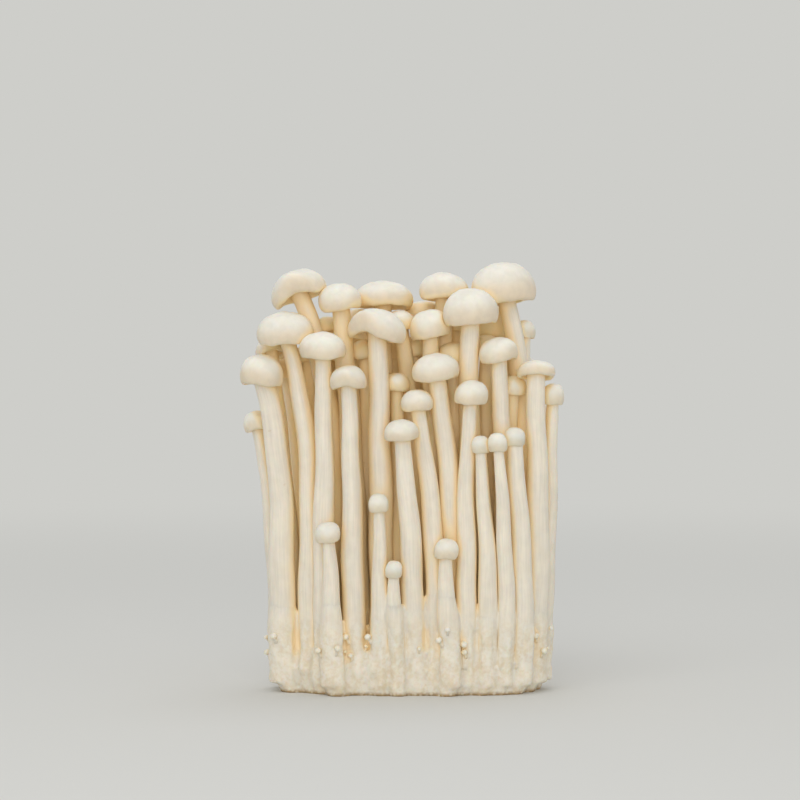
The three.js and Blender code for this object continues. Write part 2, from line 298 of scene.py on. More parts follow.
# flesh: one white skin for stems, caps, gills and foot, with painted warm shade where the bunch closes it in
fleshLook = {
    # the cap is painted darker and tanner from crown to rim: partly its own tone, partly painted shade
    "crown": shade(238, 234, 222),
    "rim": shade(228, 214, 191),
    "stem": shade(233, 225, 209),
    "gill": shade(228, 205, 168),
    "felt": shade(236, 229, 214),
    "feltShadow": shade(226, 213, 188),
    "cut": shade(228, 210, 178),
    "cutPore": shade(186, 154, 110),
    "warm": shade(247, 227, 190),  # painted warm shade between pieces
    "deep": shade(255, 229, 177),  # painted deeper warm shade far in between them
    "bruise": shade(203, 172, 124),
    "warmFrom": 0.3,  # share of the sky that is hidden where the painted warm shade starts
    "warmTo": 0.62,
    "deepTo": 0.92,
    "feltFrom": 30.0,  # under this height a stem turns into the felted foot
    "feltTo": 13.0,
    "cutFrom": 1.6,
    "marbleSize": 2.6,
    "marbleTone": (0.014, -0.022),  # how much lighter and darker it makes the flesh, as a share
    "mottleSize": 4.5,
    "mottleTone": (-0.03, 0.03),
    "fibreWidth": 0.55,
    "fibreStretch": 0.05,
    "fibreTone": (-0.035, 0.03),
    "broadFibreTone": (-0.04, 0.03),
    "feltSize": 1.1,
    "poreSize": 0.35,
    "spongeSize": 1.3,
    "bruiseSize": 1.9,
    "bruiseSpread": 11.0,
    "bruiseStrength": 0.45,
    "roughness": (0.46, 0.62),
    "relief": 0.4,
    "reliefDepth": 0.14,
    "poreRelief": 0.22,  # as shares of the relief that the fibres make
    "feltRelief": 1.7,
    "marbleRelief": 0.5,
    "gloss": 0.4,
    "subsurface": 0.5,
    "subsurfaceDepth": 3.0,
    "subsurfaceReach": (1.0, 0.72, 0.46),  # of red, green and blue
}


def makeFlesh():
    look = fleshLook
    material = bpy.data.materials.new("flesh")
    material.use_nodes = True
    tree = material.node_tree
    shader = tree.nodes["Principled BSDF"]
    grain = addNode(tree, "ShaderNodeAttribute", attribute_name="grain").outputs["Vector"]
    cap = addNode(tree, "ShaderNodeAttribute", attribute_name="cap").outputs["Fac"]
    gill = addNode(tree, "ShaderNodeAttribute", attribute_name="gill").outputs["Fac"]
    hidden = addNode(tree, "ShaderNodeAttribute", attribute_name="hidden").outputs["Fac"]
    buried = addNode(tree, "ShaderNodeAttribute", attribute_name="buried").outputs["Fac"]
    place = addNode(tree, "ShaderNodeTexCoord").outputs["Object"]
    height = addNode(tree, "ShaderNodeSeparateXYZ", {"Vector": place}).outputs["Z"]

    def noise(size, vector=grain, detail=3.0):
        inputs = {"Vector": vector, "Scale": 1 / (size * metre), "Detail": detail, "Roughness": 0.55}
        return addNode(tree, "ShaderNodeTexNoise", inputs).outputs["Fac"]

    def ranged(value, low, high, start=0.0, end=1.0):
        inputs = {"Value": value, "From Min": low, "From Max": high, "To Min": start, "To Max": end}
        return addNode(tree, "ShaderNodeMapRange", inputs, interpolation_type="SMOOTHSTEP").outputs["Result"]

    def mixed(share, first, second):
        node = addNode(tree, "ShaderNodeMix", {0: share, 6: first, 7: second}, data_type="RGBA")
        return node.outputs[2]

    def times(*values):
        return sumNode(tree, "MULTIPLY", *values)

    onStem = ranged(cap, 0.0, 0.3, 1.0, 0.0)
    onCap = ranged(cap, 0.0, 0.3)
    felt = ranged(height, look["feltTo"] * metre, look["feltFrom"] * metre, 1.0, 0.0)
    smooth = sumNode(tree, "SUBTRACT", onStem, felt)  # 1 on the bare part of a stem
    cut = ranged(height, 0.1 * metre, look["cutFrom"] * metre, 1.0, 0.0)
    along = addNode(tree, "ShaderNodeMapping", {"Vector": grain, "Scale": (1, 1, look["fibreStretch"])})
    fibres = noise(look["fibreWidth"], along.outputs["Vector"])
    broadFibres = noise(look["fibreWidth"] * 4, along.outputs["Vector"])
    mottle = noise(look["mottleSize"])
    marble = noise(look["marbleSize"], detail=5.0)
    wool = noise(look["feltSize"], place, 4.0)
    patches = noise(look["feltSize"] * 5, place, 4.0)
    pores = noise(look["poreSize"], detail=1.0)
    spongeScale = 1 / (look["spongeSize"] * metre)
    sponge = addNode(tree, "ShaderNodeTexVoronoi", {"Vector": place, "Scale": spongeScale})

    # cap colour by height from rim to crown: partly its own tone, partly painted shade towards the rim
    colour = mixed(ranged(cap, 0.4, 1.0), look["rim"], look["crown"])
    colour = mixed(onCap, look["stem"], colour)
    colour = mixed(gill, colour, look["gill"])
    worn = sumNode(tree, "ADD", times(wool, 0.5), times(patches, 0.5))
    colour = mixed(felt, colour, mixed(ranged(worn, 0.36, 0.6), look["feltShadow"], look["felt"]))
    cutColour = mixed(ranged(sponge.outputs["Distance"], 0.15, 0.6), look["cut"], look["cutPore"])
    colour = mixed(cut, colour, cutColour)
    tone = sumNode(tree, "ADD", ranged(mottle, 0.3, 0.7, *look["mottleTone"]), 1.0)
    fineStreaks = ranged(fibres, 0.3, 0.7, *look["fibreTone"])
    broadStreaks = ranged(broadFibres, 0.3, 0.7, *look["broadFibreTone"])
    tone = sumNode(tree, "ADD", tone, times(sumNode(tree, "ADD", fineStreaks, broadStreaks), smooth))
    tone = sumNode(tree, "ADD", tone, times(ranged(marble, 0.42, 0.6, *look["marbleTone"]), onCap))
    toned = addNode(tree, "ShaderNodeVectorMath", {0: colour}, operation="SCALE")
    tree.links.new(tone, toned.inputs["Scale"])
    # painted shade: the flesh turns warmer and lighter where much of the sky is hidden, between the pieces
    # and far in between them
    colour = mixed(ranged(hidden, look["warmFrom"], look["warmTo"]), toned.outputs[0], look["warm"])
    colour = mixed(ranged(hidden, look["warmTo"], look["deepTo"]), colour, look["deep"])
    spots = ranged(noise(look["bruiseSize"]), 0.66, 0.8)
    bruise = times(spots, ranged(noise(look["bruiseSpread"]), 0.54, 0.64))
    colour = mixed(times(bruise, look["bruiseStrength"]), colour, look["bruise"])
    tree.links.new(colour, shader.inputs["Base Color"])
    tree.links.new(ranged(mottle, 0.25, 0.75, *look["roughness"]), shader.inputs["Roughness"])
    relief = sumNode(tree, "ADD", times(fibres, smooth), times(pores, look["poreRelief"]))
    relief = sumNode(tree, "ADD", relief, times(wool, felt, look["feltRelief"]))
    relief = sumNode(tree, "ADD", relief, times(marble, onCap, look["marbleRelief"]))
    bump = addNode(tree, "ShaderNodeBump", {
        "Height": relief, "Strength": look["relief"], "Distance": look["reliefDepth"] * metre,
    })
    tree.links.new(bump.outputs["Normal"], shader.inputs["Normal"])
    # no light runs under the skin where one piece goes into another, so no dark line shows there
    tree.links.new(ranged(buried, 0.05, 0.5, look["subsurface"], 0.0), shader.inputs["Subsurface Weight"])
    shader.inputs["Subsurface Radius"].default_value = look["subsurfaceReach"]
    shader.inputs["Subsurface Scale"].default_value = look["subsurfaceDepth"] * metre
    shader.inputs["Specular IOR Level"].default_value = look["gloss"]
    return material


flesh = makeFlesh()
print("flesh mixed")


# the result of a Geometry Nodes tree on a mesh, as a plain mesh
def runTree(tree, mesh, values):
    source = bpy.data.objects.new("source", mesh)
    bpy.context.scene.collection.objects.link(source)
    modifier = source.modifiers.new("tree", "NODES")
    modifier.node_group = tree
    for item in tree.interface.items_tree:
        if item.in_out == "INPUT" and item.name in values:
            modifier[item.identifier] = values[item.name]
    made = bpy.data.meshes.new_from_object(source.evaluated_get(bpy.context.evaluated_depsgraph_get()))
    bpy.data.objects.remove(source)
    return made


def startTree(name, sockets):
    tree = bpy.data.node_groups.new(name, "GeometryNodeTree")
    tree.interface.new_socket("Geometry", in_out="INPUT", socket_type="NodeSocketGeometry")
    tree.interface.new_socket("Geometry", in_out="OUTPUT", socket_type="NodeSocketGeometry")
    for label, kind in sockets.items():
        tree.interface.new_socket(label, in_out="INPUT", socket_type=kind)
    return tree, tree.nodes.new("NodeGroupInput").outputs


# realises instances, gives the material and ends the tree
def endTree(tree, geometry, material):
    real = addNode(tree, "GeometryNodeRealizeInstances", {"Geometry": geometry})
    painted = addNode(tree, "GeometryNodeSetMaterial", {"Geometry": real.outputs[0], "Material": material})
    addNode(tree, "NodeGroupOutput", {"Geometry": painted.outputs[0]})


def pointsOf(mesh):
    points = np.empty(len(mesh.vertices) * 3)
    mesh.vertices.foreach_get("co", points)
    return points.reshape(-1, 3) / metre


def facesOf(mesh):
    return [list(face.vertices) for face in mesh.polygons]


# where in the skin's pattern a mushroom begins, so that no two are marked alike
def grainStart(mushroom):
    return mushroom["seed"] * 0.1


# stems: a tube along each mushroom's line, with soft lengthwise ridges
stemShape = {
    "rootHeight": 8.0,  # where a stem starts inside the foot
    "pointStep": 6.0,
    "fewestPoints": 5,
    "neckRoom": 1.0,  # how far below the cap the last of them is
    "ringStep": 1.5,
    "sides": 24,
    "wobble": 0.22,  # how far its line strays
    "wobbleLengths": (5.1, 6.3),  # how slowly it does so, along X and along Y
    "wobbleFrom": 15.0,  # it is straighter this near the foot
    "wobbleTo": 12.0,  # and this near the cap
    "swelling": 0.022,  # how much its thickness varies, as a share
    "swellingLength": 7.7,  # over what height
    "ridge": 0.28,  # depth of the ridges
    "ridgeScale": 1.25,  # how close they stand round the stem
    "ridgeStretch": 22.0,  # how fast they change along it
    "flare": 0.12,  # how much it widens into the cap, as a share
    "flareFrom": 0.3,  # where it does, as a share of the cap's height
    "intoCap": 0.52,  # where it ends, as a share of that height
}


def makeStemTree():
    tree, given = startTree("stemTube", {
        "Sides": "NodeSocketInt", "Ring Step": "NodeSocketFloat", "Ridge Depth": "NodeSocketFloat",
        "Ridge Scale": "NodeSocketFloat", "Ridge Stretch": "NodeSocketFloat", "Seed": "NodeSocketFloat",
        "Material": "NodeSocketMaterial",
    })
    curve = addNode(tree, "GeometryNodeMeshToCurve", {"Mesh": given["Geometry"]})
    spline = addNode(tree, "GeometryNodeCurveSplineType", {"Curve": curve.outputs[0]},
                     spline_type="CATMULL_ROM")
    even = addNode(tree, "GeometryNodeResampleCurve", {"Curve": spline.outputs[0]}, mode="LENGTH")
    tree.links.new(given["Ring Step"], even.inputs["Length"])
    along = addNode(tree, "GeometryNodeSplineParameter").outputs["Length"]
    rail = addNode(tree, "GeometryNodeStoreNamedAttribute",
                   {"Geometry": even.outputs[0], "Name": "along", "Value": along})
    circle = addNode(tree, "GeometryNodeCurvePrimitiveCircle", {"Resolution": given["Sides"], "Radius": 1.0})
    factor = addNode(tree, "GeometryNodeSplineParameter").outputs["Factor"]
    turn = sumNode(tree, "MULTIPLY", factor, 2 * math.pi)
    ring = addNode(tree, "GeometryNodeStoreNamedAttribute",
                   {"Geometry": circle.outputs[0], "Name": "around", "Value": turn})
    girth = addNode(tree, "GeometryNodeInputNamedAttribute", {"Name": "girth"}).outputs["Attribute"]
    tube = addNode(tree, "GeometryNodeCurveToMesh", {
        "Curve": rail.outputs[0], "Profile Curve": ring.outputs[0], "Scale": girth, "Fill Caps": True,
    })
    angle = addNode(tree, "GeometryNodeInputNamedAttribute", {"Name": "around"}).outputs["Attribute"]
    length = addNode(tree, "GeometryNodeInputNamedAttribute", {"Name": "along"}).outputs["Attribute"]
    cosine, sine = sumNode(tree, "COSINE", angle), sumNode(tree, "SINE", angle)
    straight = addNode(tree, "ShaderNodeCombineXYZ", {
        "X": sumNode(tree, "MULTIPLY", cosine, girth),
        "Y": sumNode(tree, "MULTIPLY", sine, girth),
        "Z": sumNode(tree, "ADD", length, given["Seed"]),
    })
    grained = addNode(tree, "GeometryNodeStoreNamedAttribute", {
        "Geometry": tube.outputs[0], "Name": "grain",
    }, data_type="FLOAT_VECTOR")
    tree.links.new(straight.outputs[0], grained.inputs["Value"])
    place = addNode(tree, "ShaderNodeCombineXYZ", {
        "X": cosine, "Y": sine,
        "Z": sumNode(tree, "MULTIPLY", sumNode(tree, "ADD", length, given["Seed"]), given["Ridge Stretch"]),
    })
    ridges = addNode(tree, "ShaderNodeTexNoise", {
        "Vector": place.outputs[0], "Scale": given["Ridge Scale"], "Detail": 1.5,
    })
    height = sumNode(tree, "SUBTRACT", ridges.outputs["Fac"], 0.5)
    depth = sumNode(tree, "MULTIPLY", height, given["Ridge Depth"])
    outward = addNode(tree, "GeometryNodeInputNormal").outputs[0]
    offset = addNode(tree, "ShaderNodeVectorMath", {0: outward}, operation="SCALE")
    tree.links.new(depth, offset.inputs["Scale"])
    ridged = addNode(tree, "GeometryNodeSetPosition", {
        "Geometry": grained.outputs[0], "Offset": offset.outputs[0],
    })
    endTree(tree, ridged.outputs[0], given["Material"])
    return tree


# the points up the middle of a stem, from inside the foot to inside the cap, and its half thickness there
def stemLine(mushroom):
    stem, cap, shape = mushroom["stem"], mushroom["cap"], stemShape
    firstRead = footHeight + reading["overFoot"]
    count = max(shape["fewestPoints"], round((stem["top"] - shape["rootHeight"]) / shape["pointStep"]))
    heights = np.linspace(shape["rootHeight"], stem["top"] - shape["neckRoom"], count)
    known = np.maximum(heights, firstRead)
    below = heights - known
    x = stem["x"](known) + stem["x"].deriv()(known) * below
    y = stem["y"](known) + stem["y"].deriv()(known) * below
    phase = mushroom["seed"]
    free = easeBetween(firstRead, firstRead + shape["wobbleFrom"], heights)
    free = free * easeBetween(stem["top"], stem["top"] - shape["wobbleTo"], heights)
    lengthX, lengthY = shape["wobbleLengths"]
    x = x + shape["wobble"] * free * np.sin(heights / lengthX + phase)
    y = y + shape["wobble"] * free * np.sin(heights / lengthY + 2 * phase)
    swelling = shape["swelling"] * np.sin(heights / shape["swellingLength"] + 3 * phase)
    girth = stem["radius"](known) * (1 + swelling)
    neck = cap["middle"] + shape["flareFrom"] * cap["height"] * cap["axis"]
    inner = cap["middle"] + shape["intoCap"] * cap["height"] * cap["axis"]
    points = np.vstack([np.stack([x, y, heights], 1), neck, inner])
    neckGirth = stem["radius"](neck[2])
    girth = np.append(girth, [neckGirth * (1 + shape["flare"] / 2), neckGirth * (1 + shape["flare"])])
    return points, girth


def growStem(mushroom, tree):
    points, girth = stemLine(mushroom)
    mesh = bpy.data.meshes.new("stemLine")
    mesh.from_pydata(points * metre, [(i, i + 1) for i in range(len(points) - 1)], [])
    mesh.attributes.new("girth", "FLOAT", "POINT").data.foreach_set("value", girth * metre)
    made = runTree(tree, mesh, {
        "Sides": stemShape["sides"], "Ring Step": stemShape["ringStep"] * metre,
        "Ridge Depth": 2 * stemShape["ridge"] * metre, "Ridge Scale": stemShape["ridgeScale"],
        "Ridge Stretch": stemShape["ridgeStretch"], "Seed": grainStart(mushroom), "Material": flesh,
    })
    grain = np.empty(len(made.vertices) * 3)
    made.attributes["grain"].data.foreach_get("vector", grain)
    unmarked = np.zeros(len(made.vertices))
    return {"points": pointsOf(made), "faces": facesOf(made), "cap": unmarked, "gill": unmarked,
            "grain": grain.reshape(-1, 3)}


stemTree = makeStemTree()
for mushroom in mushrooms:
    mushroom["parts"] = [growStem(mushroom, stemTree)]
print("stems grown")

# caps: domes with a thick lip that rolls in under them
capShape = {
    "sides": 48,
    "fullness": (1.95, 2.5),  # of a flat cap and of a tall one: 2 is an elliptical dome, more is squarer
    "flat": 0.9,  # height of a flat cap, as a share of its radius
    "tall": 1.8,
    "rim": 0.3,  # where the cap is widest, as a share of its height
    "lip": 0.17,  # how far the lip rolls in under it, as a share of the radius
    "lipTurn": 155,  # degrees
    "domeRows": 15,
    "lipRows": 9,
    "roofRows": 5,
    "roof": 0.42,  # where the gills meet the stem, as a share of the height
    "roofEnd": 0.25,  # how far out that is, as a share of the lip's inner edge
    "roofCurve": 0.8,
    "waves": {2: 0.03, 3: 0.035, 5: 0.02},  # how many times round, and how high, as a share of the radius
    "waveFade": 3,  # more keeps the waves nearer the rim
    "oval": 0.03,
    "lumps": 0.013,
    "slant": 0.05,  # how far the crown sits off the middle
    "tint": (0.4, 1.0),  # the skin's mark at the rim and at the crown, from which its colour is mixed: darker and tanner towards the rim, partly the cap's own tone and partly painted shade
}


# from the crown down the dome, round the lip and up to the stem, in shares of the radius and the height
def capProfile(fullness):
    shape = capShape
    dome = np.linspace(math.pi / 2, 0, shape["domeRows"], endpoint=False)
    power = 2 / fullness
    rows = [(math.cos(a) ** power, shape["rim"] + (1 - shape["rim"]) * math.sin(a) ** power) for a in dome]
    for turn in np.linspace(0, math.radians(shape["lipTurn"]), shape["lipRows"]):
        rows.append((1 - shape["lip"] + shape["lip"] * math.cos(turn), shape["rim"] * (1 - math.sin(turn))))
    edge = rows[-1]
    for share in np.linspace(0, 1, shape["roofRows"] + 1)[1:]:
        rise = math.sin(share * math.pi / 2) ** shape["roofCurve"]
        inward = 1 - (1 - shape["roofEnd"]) * share
        rows.append((edge[0] * inward, edge[1] + (shape["roof"] - edge[1]) * rise))
    rows[0] = (0.0, 1.0)
    return np.array(rows)


# a place given in shares of the cap's radius and height, with this cap's own waves and lumps
def onCap(mushroom, out, around, height):
    cap, shape, phase = mushroom["cap"], capShape, mushroom["seed"]
    radius = cap["radius"] * (1 + shape["oval"] * np.cos(2 * around + phase))
    wave = archHeight(around, cap["arch"])
    for times, size in shape["waves"].items():
        wave = wave + size * cap["radius"] * np.cos(times * around + times * phase)
    x, y = radius * out * np.cos(around), radius * out * np.sin(around)
    lumps = np.sin(x * 0.9 + phase) * np.sin(y * 0.8 + 2 * phase)
    lumps = lumps + 0.6 * np.sin(x * 1.7 - y * 1.3 + 3 * phase)
    lean = shape["slant"] * cap["radius"] * height ** 2  # most at the crown
    x, y = x + lean * math.cos(phase * 5), y + lean * math.sin(phase * 5)
    z = cap["height"] * height + wave * out ** shape["waveFade"] + shape["lumps"] * cap["radius"] * lumps
    local = np.stack([x, y, z], -1)
    return cap["middle"] + local @ np.stack([cap["side"], cap["back"], cap["axis"]]), local


def growCap(mushroom):
    tallness = mushroom["cap"]["height"] / mushroom["cap"]["radius"]
    fullness = np.interp(tallness, [capShape["flat"], capShape["tall"]], capShape["fullness"])
    profile = capProfile(fullness)
    sides, rows = capShape["sides"], len(profile)
    around = np.arange(sides) * 2 * math.pi / sides
    out = np.repeat(profile[1:, :1], sides, 1)
    height = np.repeat(profile[1:, 1:], sides, 1)
    grid, gridLocal = onCap(mushroom, out, np.broadcast_to(around, out.shape), height)
    crown, crownLocal = onCap(mushroom, np.zeros(1), np.zeros(1), np.ones(1))
    faces = [[0, 1 + i, 1 + (i + 1) % sides] for i in range(sides)]
    for row in range(rows - 2):
        a, b = 1 + row * sides, 1 + (row + 1) * sides
        faces += [[a + i, b + i, b + (i + 1) % sides, a + (i + 1) % sides] for i in range(sides)]
    last = 1 + (rows - 2) * sides
    faces.append([last + i for i in reversed(range(sides))])
    points = np.vstack([crown, grid.reshape(-1, 3)])
    local = np.vstack([crownLocal, gridLocal.reshape(-1, 3)])
    domeAndLip = capShape["domeRows"] + capShape["lipRows"] - 3
    gill = np.repeat(np.arange(rows - 1) > domeAndLip, sides).astype(float)
    rimTint, crownTint = capShape["tint"]
    tint = rimTint + (crownTint - rimTint) * easeBetween(0.05, 0.85, np.append(1, height.ravel()))
    return {"points": points, "faces": faces, "cap": tint, "gill": np.append(0, gill),
            "grain": local * metre + grainStart(mushroom)}


for mushroom in mushrooms:
    mushroom["parts"].append(growCap(mushroom))
print("caps grown")

# gills: thin blades hung between the lip and the stem, every other one short
gillShape = {
    "count": 44,
    "inner": 0.3,  # all sizes are shares of the cap's radius or of its height
    "shortInner": 0.56,
    "outer": 0.83,
    "thickness": 0.016,
    "top": (0.46, 0.16),  # height of its upper edge near the stem and at the lip
    "topCurve": 2.2,
    "edge": (0.27, 0.14),  # and of its free edge
    "leastDepth": 0.02,
    "steps": 6,
    "stray": 0.2,  # how far it stands out of its even place, as a share of the space between two
    "seed": 3,
}


# one blade standing along X in a cap of radius 1 and height 1: X is the way out, Z the height
def gillBlade():
    shape = gillShape
    out = np.linspace(0, 1, shape["steps"] + 1)
    x = shape["inner"] + (shape["outer"] - shape["inner"]) * out
    topInner, topOuter = shape["top"]
    edgeInner, edgeOuter = shape["edge"]
    top = topInner - (topInner - topOuter) * out ** shape["topCurve"]
    low = edgeInner - (edgeInner - edgeOuter) * np.sin(out * math.pi / 2)
    low = np.minimum(low, top - shape["leastDepth"])
    half = shape["thickness"] / 2 * (1.3 - 0.6 * out)  # thinner at the lip
    points, faces = [], []
    for i in range(len(out)):
        points += [(x[i], -half[i], top[i]), (x[i], -half[i] * 0.5, low[i]), (x[i], half[i] * 0.5, low[i]),
                   (x[i], half[i], top[i])]
    for i in range(shape["steps"]):
        a, b = 4 * i, 4 * (i + 1)
        faces += [(a + k, b + k, b + (k + 1) % 4, a + (k + 1) % 4) for k in range(4)]
    faces += [(0, 3, 2, 1), (b, b + 1, b + 2, b + 3)]
    mesh = bpy.data.meshes.new("gillBlade")
    mesh.from_pydata(points, [], faces)
    return mesh


def makeGillTree():
    tree, given = startTree("gillRing", {
        "Count": "NodeSocketInt", "Short Length": "NodeSocketFloat", "Outer End": "NodeSocketFloat",
        "Stray": "NodeSocketFloat", "Seed": "NodeSocketInt", "Material": "NodeSocketMaterial",
    })
    spots = addNode(tree, "GeometryNodePoints", {"Count": given["Count"]})
    index = addNode(tree, "GeometryNodeInputIndex").outputs[0]
    step = sumNode(tree, "DIVIDE", 2 * math.pi, given["Count"])
    stray = addNode(tree, "FunctionNodeRandomValue", {"Seed": given["Seed"]}, data_type="FLOAT")
    tree.links.new(sumNode(tree, "MULTIPLY", given["Stray"], -1.0), stray.inputs[2])
    tree.links.new(given["Stray"], stray.inputs[3])
    turn = sumNode(tree, "MULTIPLY", sumNode(tree, "ADD", index, stray.outputs[1]), step)
    turned = addNode(tree, "FunctionNodeEulerToRotation",
                     {"Euler": addNode(tree, "ShaderNodeCombineXYZ", {"Z": turn}).outputs[0]})
    odd = sumNode(tree, "MODULO", index, 2.0)
    lengths = addNode(tree, "ShaderNodeMix", {0: odd, 2: 1.0, 3: given["Short Length"]}, data_type="FLOAT")
    length = lengths.outputs[0]
    scale = addNode(tree, "ShaderNodeCombineXYZ", {"X": length, "Y": 1.0, "Z": 1.0}).outputs[0]
    # a short blade keeps its outer end
    slide = sumNode(tree, "MULTIPLY", given["Outer End"], sumNode(tree, "SUBTRACT", 1.0, length))
    blades = addNode(tree, "GeometryNodeInstanceOnPoints", {
        "Points": spots.outputs[0], "Instance": given["Geometry"],
        "Rotation": turned.outputs[0], "Scale": scale,
    })
    shift = addNode(tree, "ShaderNodeCombineXYZ", {"X": slide}).outputs[0]
    moved = addNode(tree, "GeometryNodeTranslateInstances",
                    {"Instances": blades.outputs[0], "Translation": shift, "Local Space": True})
    endTree(tree, moved.outputs[0], given["Material"])
    return tree


longLength = gillShape["outer"] - gillShape["inner"]
shortLength = gillShape["outer"] - gillShape["shortInner"]
gillRing = runTree(makeGillTree(), gillBlade(), {
    "Count": gillShape["count"], "Short Length": shortLength / longLength, "Outer End": gillShape["outer"],
    "Stray": gillShape["stray"], "Seed": gillShape["seed"], "Material": flesh,
})
ringPoints, ringFaces = pointsOf(gillRing) * metre, facesOf(gillRing)
for mushroom in mushrooms:
    out = np.hypot(ringPoints[:, 0], ringPoints[:, 1])
    around = np.arctan2(ringPoints[:, 1], ringPoints[:, 0])
    points, local = onCap(mushroom, out, around, ringPoints[:, 2])
    ones = np.ones(len(points))
    mushroom["parts"].append({"points": points, "faces": ringFaces, "cap": ones, "gill": ones,
                              "grain": local * metre + grainStart(mushroom)})
print("gills hung:", gillShape["count"], "blades in each cap")


def joined(parts):
    faces, start = [], 0
    for part in parts:
        faces += [[corner + start for corner in face] for face in part["faces"]]
        start += len(part["points"])
    kinds = ("points", "cap", "gill", "grain")
    whole = {kind: np.concatenate([part[kind] for part in parts]) for kind in kinds}
    return {**whole, "faces": faces}


for mushroom in mushrooms:
    mushroom["whole"] = joined(mushroom["parts"])

# where two press together, the later one gives way
pressing = {
    "gap": 0.12,
    "deepest": 2.4,  # a crossing deeper than this is left as it is
}


def treeOf(shape):
    return BVHTree.FromPolygons(shape["points"].tolist(), shape["faces"])


def giveWay(shape, earlier):
    low, high = shape["points"].min(0), shape["points"].max(0)
    moved = 0
    for other in earlier:
        if (other["low"] > high).any() or (other["high"] < low).any():
            continue
        near = np.flatnonzero(((shape["points"] > other["low"]) & (shape["points"] < other["high"])).all(1))
        for i in near:
            point = Vector(shape["points"][i])
            place, normal, face, distance = other["tree"].find_nearest(point, pressing["deepest"])
            if place is None:
                continue
            out = (point - place).dot(normal)
            if out < 0 or (distance < pressing["gap"] and out < pressing["gap"]):
                shape["points"][i] = place + normal * pressing["gap"]
                moved += 1
    return moved


earlier, moved = [], 0
for mushroom in mushrooms:
    whole = mushroom["whole"]
    moved += giveWay(whole, earlier)
    solid = joined(mushroom["parts"][:2])
    solid["points"] = whole["points"][:len(solid["points"])]
    earlier.append({"tree": treeOf(solid), "low": solid["points"].min(0), "high": solid["points"].max(0)})
print("mushrooms pressed together:", moved, "points moved")

# foot: the solid's lump with the roots of all the stems melted into it, and creases where they meet
footShape = {
    "voxel": 0.65,
    "rootStart": 3.0,
    "rootTop": (9.0, 20.0),  # how far above the foot a root ends, inside its stem
    "rootEdge": 13.0,  # how far down from there it thins out
    "collar": 1.13,  # how much wider than its stem a felted root is
    "tip": 0.8,  # and at its own top
    "rootSides": 14,
    "rootRows": 18,
    "smoothing": 5,
    "lastSmoothing": 2,
    "crease": 1.5,  # how deep the creases between two roots are
    "creaseWidth": 1.5,
    "creaseAtCut": 0.35,  # share of that depth at the cut
    "creaseFull": 12.0,  # height where they are as deep as that
    "lumps": 0.24,
    "fadeFrom": -2.0,  # lumps and creases fade out between these, from the solid foot's top
    "fadeTo": 6.0,
}


def tubeOf(line, radii, sides):
    around = np.arange(sides) * 2 * math.pi / sides
    ring = np.stack([np.cos(around), np.sin(around), np.zeros(sides)], 1)
    points = (line[:, None] + ring[None] * radii[:, None, None]).reshape(-1, 3)
    faces = [list(reversed(range(sides))), [len(points) - sides + i for i in range(sides)]]
    for row in range(len(line) - 1):
        a, b = row * sides, (row + 1) * sides
        faces += [[a + i, a + (i + 1) % sides, b + (i + 1) % sides, b + i] for i in range(sides)]
    return points, faces


def rootTop(mushroom):
    low, high = footShape["rootTop"]
    return footHeight + low + (high - low) * (mushroom["seed"] * 7 % 1)


# where a root's middle is at some heights, and its half thickness there
def rootAt(mushroom, heights):
    shape, top = footShape, rootTop(mushroom)
    known = np.maximum(heights, footHeight + reading["overFoot"])
    line, girth = stemLine(mushroom)
    x, y = np.interp(heights, line[:, 2], line[:, 0]), np.interp(heights, line[:, 2], line[:, 1])
    thinning = easeBetween(top - shape["rootEdge"], top, heights)
    widening = shape["collar"] + (shape["tip"] - shape["collar"]) * thinning
    return np.stack([x, y], 1), mushroom["stem"]["radius"](known) * widening


def rootTube(mushroom):
    heights = np.linspace(footShape["rootStart"], rootTop(mushroom), footShape["rootRows"])
    middles, radii = rootAt(mushroom, heights)
    return tubeOf(np.column_stack([middles, heights]), radii, footShape["rootSides"])


# 1 midway between the two nearest roots, 0 away from there
def creaseAt(points):
    gaps = []
    for mushroom in mushrooms:
        middles, radii = rootAt(mushroom, points[:, 2])
        gaps.append(np.hypot(*(points[:, :2] - middles).T) - radii)
    gaps = np.sort(gaps, axis=0)
    return np.exp(-((gaps[1] - gaps[0]) / footShape["creaseWidth"]) ** 2)


# low lumps all over the foot
def lumpsAt(points):
    x, y, z = points.T
    broad = np.sin(0.9 * x + 0.4 * z) * np.sin(0.8 * y - 0.5 * z)
    fine = 0.6 * np.sin(1.9 * x - 1.1 * z) * np.sin(1.7 * y + z)
    return broad + fine


def normalsOf(shape):
    mesh = bpy.data.meshes.new("normals")
    mesh.from_pydata(shape["points"], [], shape["faces"])
    normals = np.empty(len(shape["points"]) * 3, np.float32)
    mesh.vertex_normals.foreach_get("vector", normals)
    bpy.data.meshes.remove(mesh)
    return normals.reshape(-1, 3)


def neighbourMean(points, edges):
    total, count = np.zeros_like(points), np.zeros(len(points))
    for a, b in (edges.T, edges.T[::-1]):
        np.add.at(total, a, points[b])
        np.add.at(count, a, 1)
    return total / np.maximum(count, 1)[:, None]


